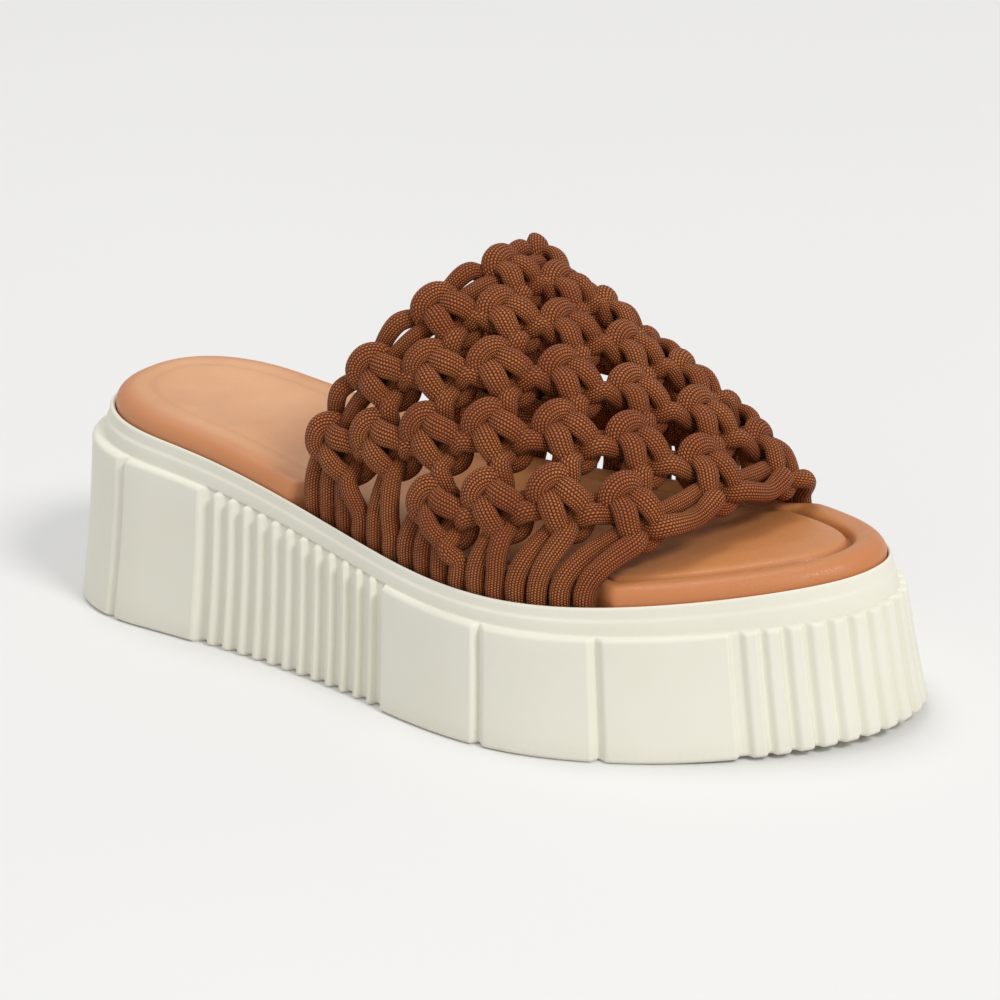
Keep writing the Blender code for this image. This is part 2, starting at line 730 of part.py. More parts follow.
def main():
    for obj in list(bpy.data.objects):
        bpy.data.objects.remove(obj, do_unlink=True)
    collection = bpy.data.collections.new("platform_sandal")
    bpy.context.scene.collection.children.link(collection)
    make_object("sole", sole_shape(), collection)
    make_object("footbed", footbed_shape(), collection)
    make_object("upper", upper_shape(), collection)


main()
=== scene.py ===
"""Looks of a right platform sandal: moulded sole, padded leather footbed and a band of knotted cord.

Toe to +X, lateral side to -Y, floor at z = 0, metres.
"""

import math

import bmesh
import bpy
import numpy as np
from mathutils import Matrix, Vector


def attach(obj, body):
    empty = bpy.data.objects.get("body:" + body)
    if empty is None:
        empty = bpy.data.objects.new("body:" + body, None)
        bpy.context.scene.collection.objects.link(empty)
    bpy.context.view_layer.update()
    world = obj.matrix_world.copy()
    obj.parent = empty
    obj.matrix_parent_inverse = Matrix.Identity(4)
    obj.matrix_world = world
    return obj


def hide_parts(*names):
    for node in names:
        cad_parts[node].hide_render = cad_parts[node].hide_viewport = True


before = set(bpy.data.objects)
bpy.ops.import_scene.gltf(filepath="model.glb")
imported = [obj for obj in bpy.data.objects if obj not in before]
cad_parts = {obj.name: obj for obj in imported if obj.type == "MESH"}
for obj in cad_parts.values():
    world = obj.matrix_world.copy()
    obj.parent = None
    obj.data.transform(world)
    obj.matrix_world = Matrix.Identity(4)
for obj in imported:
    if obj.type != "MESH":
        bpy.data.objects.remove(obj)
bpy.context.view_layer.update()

# Sizes of the last and of the platform, as in the CAD
FOOTBED_LENGTH = 0.250
PLAN_WIDTH = 0.098
HEEL_HEIGHT = 0.0575
INSTEP_HEIGHT = 0.0670
CLEARANCE = 0.0003
PLAN = (
    (0.00, 0.000, 0.302),
    (0.20, -0.038, 0.301),
    (0.45, -0.055, 0.379),
    (0.70, 0.001, 0.524),
    (1.00, 0.067, 0.420),
)
HEEL_ROUND = 0.16
HEEL_ROUND_POWER = 2.33
TOE_ROUND = 0.49
TOE_ROUND_POWER = 2.22
RIM = ((0.00, 1.000), (0.25, 0.904), (0.50, 0.730), (0.70, 0.666), (1.00, 0.772))
SIDE_REACH = 0.007
LEDGE_DROP = 0.0090
SIDE = (
    (0.00, 1.00, 0.88, 0.97),
    (0.30, 0.62, 0.66, 0.89),
    (0.50, 0.66, 0.60, 0.84),
    (0.70, 0.96, 0.76, 0.80),
    (1.00, 0.74, 0.66, 1.07),
)
TOE_SPRING = 0.0030
TOE_SPRING_START = 0.80
MIN_LEDGE = 0.0036

# Camera of the photo, fitted to both shoes, then aimed at the one shoe
CAMERA_PLACE = (0.6830, -0.8191, 0.4193)
CAMERA_FORWARD = (-0.5475, 0.7761, -0.3128)
CAMERA_ROLL = -1.82
CAMERA_AZIMUTH = 35.2
CAMERA_ELEVATION = 18.23
PHOTO_FOCAL = 2680.0
PHOTO_MIDDLE = 500.0
PHOTO_AIM = (314.0, 568.0)
SENSOR_WIDTH = 36.0
ZOOM = 1.53


def spline(table, column, where):
    """Natural cubic spline through one column of a table, at the stations asked for."""
    xs = np.array([row[0] for row in table])
    ys = np.array([row[column] for row in table])
    gaps = np.diff(xs)
    slopes = np.diff(ys) / gaps
    count = len(xs)
    system = np.eye(count)
    right = np.zeros(count)
    for i in range(1, count - 1):
        system[i, i - 1] = gaps[i - 1]
        system[i, i] = 2.0 * (gaps[i - 1] + gaps[i])
        system[i, i + 1] = gaps[i]
        right[i] = 6.0 * (slopes[i] - slopes[i - 1])
    bends = np.linalg.solve(system, right)
    where = np.asarray(where, dtype=float)
    i = np.clip(np.searchsorted(xs, where) - 1, 0, count - 2)
    before = where - xs[i]
    after = xs[i + 1] - where
    curve = (bends[i] * after**3 + bends[i + 1] * before**3) / (6.0 * gaps[i])
    line = (ys[i] / gaps[i] - bends[i] * gaps[i] / 6.0) * after
    return curve + line + (ys[i + 1] / gaps[i] - bends[i + 1] * gaps[i] / 6.0) * before


def plan_point(side, station, grow):
    """Point of the plan outline, grown outward by a length; side is -1 lateral, +1 medial."""
    station = np.asarray(station, dtype=float)
    heel = np.clip((HEEL_ROUND - station) / HEEL_ROUND, 0.0, 1.0) ** HEEL_ROUND_POWER
    toe = np.clip((station - 1.0 + TOE_ROUND) / TOE_ROUND, 0.0, 1.0) ** TOE_ROUND_POWER
    ends = (1.0 - heel) ** (1.0 / HEEL_ROUND_POWER) * (1.0 - toe) ** (1.0 / TOE_ROUND_POWER)
    x = -FOOTBED_LENGTH / 2 - grow + station * (FOOTBED_LENGTH + 2 * grow)
    half = spline(PLAN, 2, station) * PLAN_WIDTH + grow
    return x, spline(PLAN, 1, station) * PLAN_WIDTH + side * half * ends


def rim_height(station):
    """Height of the sole's rim over the floor."""
    return spline(RIM, 1, station) * HEEL_HEIGHT


def ledge_width(station):
    """How far the top of the wall stands out from the footbed."""
    return np.maximum(spline(SIDE, 1, station) * SIDE_REACH, MIN_LEDGE)


def wall_flare(station):
    """How far the foot of the wall stands out from its top."""
    return spline(SIDE, 2, station) * SIDE_REACH


def toe_spring(station):
    """Height of the underside over the floor: a parabola that starts ahead of the ball."""
    return TOE_SPRING * np.clip((station - TOE_SPRING_START) / (1.0 - TOE_SPRING_START), 0.0, 1.0) ** 2


def centre_shift(count=401):
    """Move that brings the sole's box to the middle of the frame."""
    station = np.linspace(0.0, 1.0, count)
    grow = ledge_width(station) + wall_flare(station)
    x = np.concatenate([plan_point(side, station, grow)[0] for side in (-1, 1)])
    y = np.concatenate([plan_point(side, station, grow)[1] for side in (-1, 1)])
    return np.array([-(x.min() + x.max()) / 2, -(y.min() + y.max()) / 2, 0.0])


SHIFT = centre_shift()


def outline(grow_of, count=2400):
    """Closed outline: side, station and running length, heel to toe and back on the medial side."""
    station = 0.5 - 0.5 * np.cos(np.linspace(0.0, math.pi, count))
    sides = np.concatenate([np.full(count, -1.0), np.full(count - 1, 1.0)])
    stations = np.concatenate([station, station[::-1][1:]])
    lateral = np.stack(plan_point(-1, station, grow_of(station)), axis=1)
    medial = np.stack(plan_point(1, station, grow_of(station)), axis=1)[::-1][1:]
    points = np.concatenate([lateral, medial])
    length = np.concatenate([[0.0], np.cumsum(np.linalg.norm(np.diff(points, axis=0), axis=1))])
    return sides, stations, length


def along_outline(place, sides, stations, length):
    """Side and station at running lengths of an outline."""
    lateral = sides < 0
    side = np.where(place <= length[lateral][-1], -1.0, 1.0)
    one = np.interp(place, length[lateral], stations[lateral])
    two = np.interp(place, length[~lateral], stations[~lateral])
    return side, np.where(side < 0, one, two)


def smooth_step(low, high, value):
    """Share from 0 to 1 that eases in and out between two values."""
    share = np.clip((value - low) / (high - low), 0.0, 1.0)
    return share * share * (3.0 - 2.0 * share)


# Points nearer than this are one point
WELD = 1e-7


def make_piece(name, points, quads, material, uv=None, layers=None, weld=0.0, sharp=None):
    """Mesh object from arrays of points and four-cornered faces, with its faces turned outward."""
    mesh = bpy.data.meshes.new(name)
    mesh.vertices.add(len(points))
    mesh.vertices.foreach_set("co", np.asarray(points, dtype=np.float32).ravel())
    mesh.loops.add(quads.size)
    mesh.loops.foreach_set("vertex_index", quads.astype(np.int32).ravel())
    mesh.polygons.add(len(quads))
    mesh.polygons.foreach_set("loop_start", np.arange(0, quads.size, 4, dtype=np.int32))
    mesh.update(calc_edges=True)
    if uv is not None:
        mesh.uv_layers.new(name="along").data.foreach_set("uv", uv.astype(np.float32).ravel())
    for layer, values in (layers or {}).items():
        made = mesh.attributes.new(layer, "FLOAT", "POINT")
        made.data.foreach_set("value", values.astype(np.float32).ravel())
    work = bmesh.new()
    work.from_mesh(mesh)
    if weld:
        bmesh.ops.remove_doubles(work, verts=work.verts, dist=weld)
    bmesh.ops.recalc_face_normals(work, faces=work.faces)
    work.to_mesh(mesh)
    work.free()
    mesh.shade_smooth()
    if sharp:
        mesh.set_sharp_from_angle(angle=math.radians(sharp))
    mesh.materials.append(material)
    piece = bpy.data.objects.new(name, mesh)
    bpy.context.scene.collection.objects.link(piece)
    return piece


def grid_quads(rows, columns, start=0):
    """Faces of a grid that is closed round its columns."""
    row = np.arange(rows - 1)[:, None]
    column = np.arange(columns)[None, :]
    following = (column + 1) % columns
    corners = [row * columns + column, row * columns + following]
    corners += [(row + 1) * columns + following, (row + 1) * columns + column]
    whole = [np.broadcast_to(corner, (rows - 1, columns)) for corner in corners]
    return np.stack(whole, axis=-1).reshape(-1, 4) + start


def placed(side, station, grow, height):
    """Points on one side of the plan outline at a height, in the shared frame."""
    x, y = plan_point(side, station, grow)
    return np.stack([x, y, np.broadcast_to(height, x.shape)], axis=-1) + SHIFT


def ring_round(side, station, grow, height):
    """Ring of points round the shoe, each on the side given for it."""
    lateral = placed(-1, station, grow, height)
    return np.where((side < 0)[:, None], lateral, placed(1, station, grow, height))


# The middle line of a cap has this many steps, and ends at this share from heel and toe
SPINE_STEPS = 70
SPINE_END = 0.06


def spine(station, grow, height_of):
    """Middle line of a cap; places are rounded so that both sides meet in the same points."""
    step = np.round((SPINE_END + (1.0 - 2 * SPINE_END) * station) * SPINE_STEPS) / SPINE_STEPS
    x = -FOOTBED_LENGTH / 2 - grow + step * (FOOTBED_LENGTH + 2 * grow)
    y = spline(PLAN, 1, step) * PLAN_WIDTH
    return np.stack([x, y, height_of(step)], axis=-1) + SHIFT


class Nodes:
    """Small helper that adds shader nodes and joins them by name."""

    def __init__(self, tree):
        self.tree = tree

    def feed(self, socket, value):
        """Joins another node's output to a socket, or sets the socket to a constant."""
        if isinstance(value, bpy.types.NodeSocket):
            self.tree.links.new(value, socket)
        else:
            socket.default_value = value

    def add(self, kind, inputs=None, **settings):
        """New node with its inputs fed and its settings made."""
        node = self.tree.nodes.new(kind)
        for key, value in settings.items():
            setattr(node, key, value)
        for key, value in (inputs or {}).items():
            self.feed(node.inputs[key], value)
        return node

    def maths(self, operation, one, two=0.0, three=0.0):
        return self.add("ShaderNodeMath", {0: one, 1: two, 2: three}, operation=operation).outputs[0]

    def blend(self, share, one, two):
        """Colour between two colours; the sockets of colours are numbers 6 and 7, and output 2."""
        return self.add("ShaderNodeMix", {0: share, 6: one, 7: two}, data_type="RGBA").outputs[2]

    def remap(self, value, low, high, to_low, to_high):
        inputs = {0: value, 1: low, 2: high, 3: to_low, 4: to_high}
        return self.add("ShaderNodeMapRange", inputs).outputs[0]


def shader_group(name, inputs, outputs):
    """Empty node group with named number inputs and outputs."""
    group = bpy.data.node_groups.new(name, "ShaderNodeTree")
    for label, value in inputs:
        socket = group.interface.new_socket(label, in_out="INPUT", socket_type="NodeSocketFloat")
        socket.default_value = value
    for label in outputs:
        group.interface.new_socket(label, in_out="OUTPUT", socket_type="NodeSocketFloat")
    nodes = Nodes(group)
    return group, nodes, nodes.add("NodeGroupInput"), nodes.add("NodeGroupOutput")


def patches_group():
    """Broad and fine blotches: two noises of the object's place, from 0 to 1."""
    group, nodes, given, result = shader_group(
        "Blotches", [("Broad Scale", 20.0), ("Fine Scale", 400.0)], ["Broad", "Fine"]
    )
    place = nodes.add("ShaderNodeTexCoord").outputs["Object"]
    for label, scale, detail in (("Broad", "Broad Scale", 3.0), ("Fine", "Fine Scale", 4.0)):
        inputs = {"Vector": place, "Scale": given.outputs[scale], "Detail": detail}
        noise = nodes.add("ShaderNodeTexNoise", inputs)
        nodes.feed(result.inputs[label], noise.outputs["Fac"])
    return group


BLOTCHES = patches_group()


def new_material(name):
    """Material with its node helper and its surface node."""
    material = bpy.data.materials.new(name)
    material.use_nodes = True
    return material, Nodes(material.node_tree), material.node_tree.nodes["Principled BSDF"]


def blotches(nodes, broad, fine):
    """Outputs of the shared blotches at two scales."""
    node = nodes.add("ShaderNodeGroup", node_tree=BLOTCHES)
    node.inputs["Broad Scale"].default_value = broad
    node.inputs["Fine Scale"].default_value = fine
    return node.outputs["Broad"], node.outputs["Fine"]


SOLE_TONES = ((0.800, 0.780, 0.668, 1), (0.830, 0.815, 0.712, 1))
# Speckled darker tone that fades in towards the floor: its tone, the height it reaches and its strongest
# share
LOW_DARK_TONE = (0.58, 0.55, 0.46, 1)
LOW_DARK_HEIGHT = 0.006
LOW_DARK_SHARE = 0.14


def sole_material():
    """Cream moulded foam rubber: faint blotches, a fine pebbled skin and a speckled darkening towards the
    floor.
    """
    material, nodes, surface = new_material("sole_rubber")
    broad, fine = blotches(nodes, 26.0, 900.0)
    tone = nodes.remap(broad, 0.3, 0.7, 0.0, 1.0)
    colour = nodes.blend(tone, *SOLE_TONES)
    place = nodes.add("ShaderNodeTexCoord").outputs["Object"]
    height = nodes.add("ShaderNodeSeparateXYZ", {0: place}).outputs[2]
    # Darker towards the floor, broken up by fine speckles
    low = nodes.remap(height, 0.0, LOW_DARK_HEIGHT, LOW_DARK_SHARE, 0.0)
    low_dark = nodes.maths("MULTIPLY", low, nodes.remap(fine, 0.42, 0.62, 0.2, 1.0))
    colour = nodes.blend(low_dark, colour, LOW_DARK_TONE)
    nodes.feed(surface.inputs["Base Color"], colour)
    nodes.feed(surface.inputs["Roughness"], nodes.remap(fine, 0.3, 0.7, 0.44, 0.60))
    bump = nodes.add("ShaderNodeBump", {"Height": fine, "Strength": 0.10, "Distance": 0.0003})
    nodes.feed(surface.inputs["Normal"], bump.outputs[0])
    surface.inputs["Specular IOR Level"].default_value = 0.38
    return material


# Tones of the toe and of the heel: one leather, darker towards the toe as painted shade and paler on the
# heel as painted light
LEATHER_LIT_AND_SHADED_TONES = ((0.640, 0.255, 0.086, 1), (0.745, 0.400, 0.208, 1))
LEATHER_BLOTCH = (0.520, 0.205, 0.075, 1)
LEATHER_EDGE = (0.560, 0.200, 0.070, 1)
# Painted shade in the seam's channel
LEATHER_SEAM_SHADE = (0.230, 0.068, 0.022, 1)
# The heel's painted light fades into the toe's painted shade between these two places along the shoe
HEEL_LIGHT_FADE = (-0.07, 0.01)
PORE_SCALE = 1300.0
CREASE_SCALE = 160.0


def leather_material():
    """Tan leather: paler at the heel as painted light and darker towards the toe as painted shade, darker
    on the edge, painted shade in the seam, with pores and fine creases.
    """
    material, nodes, surface = new_material("footbed_leather")
    broad, fine = blotches(nodes, 30.0, 700.0)
    place = nodes.add("ShaderNodeTexCoord").outputs["Object"]
    along = nodes.add("ShaderNodeSeparateXYZ", {0: place}).outputs[0]
    # Painted light on the heel and painted shade towards the toe
    heel = nodes.remap(along, *HEEL_LIGHT_FADE, 1.0, 0.0)
    colour = nodes.blend(heel, *LEATHER_LIT_AND_SHADED_TONES)
    colour = nodes.blend(nodes.remap(broad, 0.35, 0.70, 0.0, 0.45), colour, LEATHER_BLOTCH)
    # The seam attribute carries painted shade in the seam's channel
    seam = nodes.add("ShaderNodeAttribute", attribute_name="seam").outputs["Fac"]
    edge = nodes.add("ShaderNodeAttribute", attribute_name="edge").outputs["Fac"]
    colour = nodes.blend(nodes.maths("MULTIPLY", edge, 0.75), colour, LEATHER_EDGE)
    colour = nodes.blend(nodes.maths("MULTIPLY", seam, 0.80), colour, LEATHER_SEAM_SHADE)
    nodes.feed(surface.inputs["Base Color"], colour)
    grain_inputs = {"Vector": place, "Scale": PORE_SCALE}
    grain = nodes.add("ShaderNodeTexVoronoi", grain_inputs, feature="DISTANCE_TO_EDGE")
    pores = nodes.remap(grain.outputs["Distance"], 0.0, 0.12, 0.0, 1.0)
    stretch = nodes.add("ShaderNodeMapping", {"Vector": place, "Scale": (0.35, 1.0, 1.0)}).outputs[0]
    crease_inputs = {"Vector": stretch, "Scale": CREASE_SCALE, "Detail": 5.0}
    crease = nodes.add("ShaderNodeTexNoise", crease_inputs).outputs["Fac"]
    creases = nodes.maths("MULTIPLY", crease, 1.6)
    height = nodes.maths("ADD", nodes.maths("MULTIPLY", pores, 0.35), creases)
    bump = nodes.add("ShaderNodeBump", {"Height": height, "Strength": 0.30, "Distance": 0.0004})
    nodes.feed(surface.inputs["Normal"], bump.outputs[0])
    nodes.feed(surface.inputs["Roughness"], nodes.remap(fine, 0.3, 0.7, 0.30, 0.46))
    surface.inputs["Specular IOR Level"].default_value = 0.45
    return material


# Rows of stitches round a cord, and the length of a stitch in millimetres
BRAID_ROWS = 20.0
BRAID_PITCH = 0.68
STITCH_LEAN = 0.30
# Near black ground, painted shade in the gaps between the stitches; the stitches' own tones follow
CORD_GAP_SHADE = (0.072, 0.013, 0.004, 1)
CORD_LIGHTS = ((0.600, 0.165, 0.040, 1), (0.760, 0.250, 0.066, 1))


def braid_group():
    """Braided sheath: rows along the cord of slanted stitches, leaning the other way in the next row."""
    group, nodes, given, result = shader_group(
        "Braid", [("Rows", BRAID_ROWS), ("Pitch", BRAID_PITCH)], ["Stitch"]
    )
    uv = nodes.add("ShaderNodeUVMap", uv_map="along").outputs[0]
    around, along, _ = nodes.add("ShaderNodeSeparateXYZ", {0: uv}).outputs
    row = nodes.maths("MULTIPLY", around, given.outputs["Rows"])
    inside = nodes.maths("SUBTRACT", nodes.maths("FRACT", row), 0.5)
    parity = nodes.maths("MODULO", nodes.maths("FLOOR", row), 2.0)
    lean = nodes.maths("MULTIPLY_ADD", parity, 2.0, -1.0)
    shift = nodes.maths("MULTIPLY", nodes.maths("MULTIPLY", inside, lean), STITCH_LEAN)
    step = nodes.maths("ADD", nodes.maths("DIVIDE", along, given.outputs["Pitch"]), shift)
    step = nodes.maths("MULTIPLY_ADD", parity, 0.5, step)
    wave = nodes.maths("COSINE", nodes.maths("MULTIPLY", nodes.maths("FRACT", step), 2 * math.pi))
    wave = nodes.maths("MULTIPLY_ADD", wave, -0.5, 0.5)
    aside = nodes.maths("ABSOLUTE", nodes.maths("MULTIPLY", inside, 2.0))
    ridge = nodes.maths("SUBTRACT", 1.0, nodes.maths("POWER", aside, 2.0))
    stitch = nodes.maths("MULTIPLY", nodes.maths("MULTIPLY_ADD", wave, 0.7, 0.3), ridge)
    nodes.feed(result.inputs["Stitch"], stitch)
    return group


def cord_material():
    """Braided round cord: light flecks of the stitches over a dark red brown ground, painted shade in the
    gaps between them.
    """
    material, nodes, surface = new_material("cord_braid")
    braid = nodes.add("ShaderNodeGroup", node_tree=braid_group())
    braid.inputs["Rows"].default_value = BRAID_ROWS
    braid.inputs["Pitch"].default_value = BRAID_PITCH
    stitch = braid.outputs["Stitch"]
    broad, fine = blotches(nodes, 60.0, 1500.0)
    light = nodes.blend(nodes.remap(broad, 0.35, 0.65, 0.0, 1.0), *CORD_LIGHTS)
    fleck = nodes.remap(stitch, 0.22, 0.98, 0.0, 1.0)
    share = nodes.maths("MULTIPLY", fleck, nodes.remap(fine, 0.35, 0.6, 0.7, 1.0))
    # The braid's stitch pattern is real; the dark ground between stitches is painted shade
    colour = nodes.blend(share, CORD_GAP_SHADE, light)
    nodes.feed(surface.inputs["Base Color"], colour)
    bump = nodes.add("ShaderNodeBump", {"Height": stitch, "Strength": 0.80, "Distance": 0.00040})
    nodes.feed(surface.inputs["Normal"], bump.outputs[0])
    nodes.feed(surface.inputs["Roughness"], nodes.remap(stitch, 0.0, 1.0, 0.80, 0.56))
    surface.inputs["Specular IOR Level"].default_value = 0.22
    surface.inputs["Sheen Weight"].default_value = 0.04
    surface.inputs["Sheen Roughness"].default_value = 0.4
    return material


# Relief of the sole's side, as in the CAD
V_GROOVES = {-1: (0.110, 0.660, 0.785), 1: (0.110, 0.690, 0.817)}
V_WIDTH = 0.0040
V_DEPTH = 0.0021
ARCH_RIBS = {-1: (0.229, 0.524), 1: (0.262, 0.549)}
ARCH_SHAPE = (12, 0.0013, 0.0029, 0.0006, 0.0025)
TOE_RIB_START = {-1: 0.900, 1: 0.945}
TOE_SHAPE = (12, 0.0032, 0.0048, 0.0, 0.0017)
RIM_STEPS = ((0.46, 0.74), (0.40, 0.46), (0.27, 0.38), (0.22, 0.07), (0.12, 0.00))
CROWN_WIDTH = 0.0009
CROWN_RISE = 0.0007
GROOVE_DEPTH = 0.0023
GROOVE_RISE = 0.0006
GROOVE_SHARE = 0.52
LIP_DROP = 0.05
RECESS_DEPTH = 0.0060
FOOT_CHAMFER = 0.0010
WALL_LEVELS = 7
WALL_HOLLOW = 0.32
FLOOR_INSET = 0.006
SOFT_EDGE = 0.00045
SOFT_EDGE_SHARE = 0.4
SOLE_CREASE_ANGLE = 50
# Steps round the side: those of the relief, and those of the mesh where the side is plain or ribbed
RELIEF_STEP = 0.0001
RELIEF_WINDOW = 7
PLAIN_STEP = 0.0017
RIBBED_STEP = 0.0005


def relief():
    """Places round the side and their depth: V-grooves and ribs as a polyline with softened corners."""
    sides, stations, length = outline(ledge_width)
    lateral = sides < 0

    def at(side, station):
        mask = lateral if side < 0 else ~lateral
        return float(np.interp(-side * station, -side * stations[mask], length[mask]))

    marks = [(0.0, 0.0), (length[-1], 0.0)]
    busy = []
    for side, places in V_GROOVES.items():
        for middle in (at(side, place) for place in places):
            marks += [(middle - V_WIDTH / 2, 0.0), (middle, V_DEPTH), (middle + V_WIDTH / 2, 0.0)]
            busy.append((middle - V_WIDTH, middle + V_WIDTH))

    def ribs(start, end, count, top, foot, ridge, valley):
        pitch = (end - start) / (count + 1)
        edge = (foot - top) / 2
        rows = [(start, 0.0), (start + edge, valley), (end - edge, valley), (end, 0.0)]
        for k in range(1, count + 1):
            middle = start + k * pitch
            rows += [(middle - foot / 2, valley), (middle - top / 2, ridge)]
            rows += [(middle + top / 2, ridge), (middle + foot / 2, valley)]
        busy.append((start - 2 * edge, end + 2 * edge))
        return rows

    for side, (first, last) in ARCH_RIBS.items():
        marks += ribs(*sorted((at(side, first), at(side, last))), *ARCH_SHAPE)
    marks += ribs(at(-1, TOE_RIB_START[-1]), at(1, TOE_RIB_START[1]), *TOE_SHAPE)
    marks = np.array(sorted(marks))
    fine = np.arange(0.0, length[-1], RELIEF_STEP)
    depth = np.interp(fine, marks[:, 0], marks[:, 1])
    window = np.hanning(RELIEF_WINDOW)
    padded = np.pad(depth, RELIEF_WINDOW // 2, mode="edge")
    depth = np.convolve(padded, window / window.sum(), mode="valid")
    dense = np.full(len(fine), 1.0 / PLAIN_STEP)
    for low, high in busy:
        dense[(fine > low) & (fine < high)] = 1.0 / RIBBED_STEP
    run = np.concatenate([[0.0], np.cumsum(dense)[:-1]]) * RELIEF_STEP
    place = np.interp(np.arange(0.0, run[-1], 1.0), run, fine)
    return *along_outline(place, sides, stations, length), np.interp(place, fine, depth)


def soften(profile, reach):
    """Cuts each corner of a profile, given as levels of points, into three points at a small reach."""
    before = profile[:-2] - profile[1:-1]
    after = profile[2:] - profile[1:-1]
    size_before = np.linalg.norm(before, axis=-1, keepdims=True) + 1e-9
    size_after = np.linalg.norm(after, axis=-1, keepdims=True) + 1e-9
    low = profile[1:-1] + before * np.minimum(reach / size_before, SOFT_EDGE_SHARE)
    high = profile[1:-1] + after * np.minimum(reach / size_after, SOFT_EDGE_SHARE)
    middle = 0.5 * profile[1:-1] + 0.25 * (low + high)
    between = np.stack([low, middle, high], axis=1).reshape(-1, *profile.shape[1:])
    return np.concatenate([profile[:1], between, profile[-1:]])


def make_sole():
    """Stack of rings round the last: floor, flared and ribbed wall, crown, groove, steps and recess."""
    side, station, depth = relief()
    rim, ledge, flare = rim_height(station), ledge_width(station), wall_flare(station)
    drop = spline(SIDE, 3, station) * LEDGE_DROP
    floor = toe_spring(station)
    wall_foot = floor + FOOT_CHAMFER
    wall_top = rim - drop
    rows = [(ledge + flare - FLOOR_INSET, floor), (ledge + flare - FOOT_CHAMFER - depth, floor)]
    for share in np.linspace(0.0, 1.0, WALL_LEVELS):
        out = 1.0 - (1.0 + WALL_HOLLOW) * share + WALL_HOLLOW * share * share
        rows.append((ledge + out * flare - depth, wall_foot + share * (wall_top - wall_foot)))
    rows.append((ledge - depth - CROWN_WIDTH, wall_top + CROWN_RISE))
    groove = np.minimum(ledge - GROOVE_DEPTH, ledge * GROOVE_SHARE)
    rows.append((groove, wall_top + GROOVE_RISE))
    for out, down in RIM_STEPS:
        rows.append((CLEARANCE + out * (ledge - CLEARANCE), rim - down * drop))
    rows.append((CLEARANCE + 0 * rim, rim - LIP_DROP * drop))
    rows.append((CLEARANCE + 0 * rim, rim - RECESS_DEPTH))
    profile = np.array([np.stack([grow, height], axis=-1) for grow, height in rows])
    profile = soften(profile, SOFT_EDGE)
    rings = [ring_round(side, station, level[:, 0], level[:, 1]) for level in profile]
    rings.insert(0, spine(station, 0.0, toe_spring))
    rings.append(spine(station, 0.0, lambda step: rim_height(step) - RECESS_DEPTH))
    points = np.concatenate(rings)
    quads = grid_quads(len(rings), len(station))
    piece = make_piece("sole_body", points, quads, sole_material(), weld=WELD, sharp=SOLE_CREASE_ANGLE)
    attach(piece, "root")
    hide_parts("sole")


# Footbed, as in the CAD, with its roll and seam
PAD_HEEL = 0.0046
PAD_TOE = 0.0042
PAD_ROUND = 0.0042
SEAM_INSET = 0.0100
SEAM_HALF = 0.0010
SEAM_DEPTH = 0.0020
SEAM_START = (0.55, 0.72)
# Share of the seam's depth that is left at the heel
SEAM_AT_HEEL = 0.10
# Soft dip on both sides of the seam: depth and half width
SEAM_DIP = (0.0009, 0.0032)
SEAT_DEPTH = 0.0016
SEAT_END = 0.45
SEAT_EASE = (0.009, 0.024)
# The top falls a little further in: depth, and the insets between which it falls
TOP_FALLS = ((0.0003, 0.006, 0.009), (0.0008, 0.010, 0.020))
BAND_EDGE = {-1: (0.372, 0.784), 1: (0.376, 0.832)}
PAD_SAMPLES = 640
# Beside the band the pad is drawn in by NOTCH, which eases in over NOTCH_EASE and is less further in
NOTCH = 0.0056
NOTCH_EASE = 0.0055
NOTCH_LOSS = 0.4
NOTCH_FADE = (0.013, 0.022)
# Rings of the pad: its foot as insets and heights, shares of its side, the rolled edge, and the top
PAD_FOOT = ((0.0015, 0.0), (0.0003, 0.0004), (0.0, 0.001))
PAD_SIDE = (0.35, 0.7)
ROLL_STEPS = 9
SEAM_REACH = 0.003
SEAM_STEPS = 15
TOP_BEFORE_SEAM = (0.0050, 0.0060)
TOP_AFTER_SEAM = (0.0140, 0.0160, 0.0190, 0.0220)
EDGE_FADE = (0.0022, 0.0070)
CROWN_INSET = 0.022
CROWN_STEPS = (0.25, 0.5, 0.75, 1.0)
# The crown is level with the top this much further in
SEAT_MARGIN = 0.008
# Painted shade along the seam: width as a share of the groove's, and strength at the heel
SEAM_SHADE_WIDTH = 0.8
SEAM_SHADE_AT_HEEL = 0.12


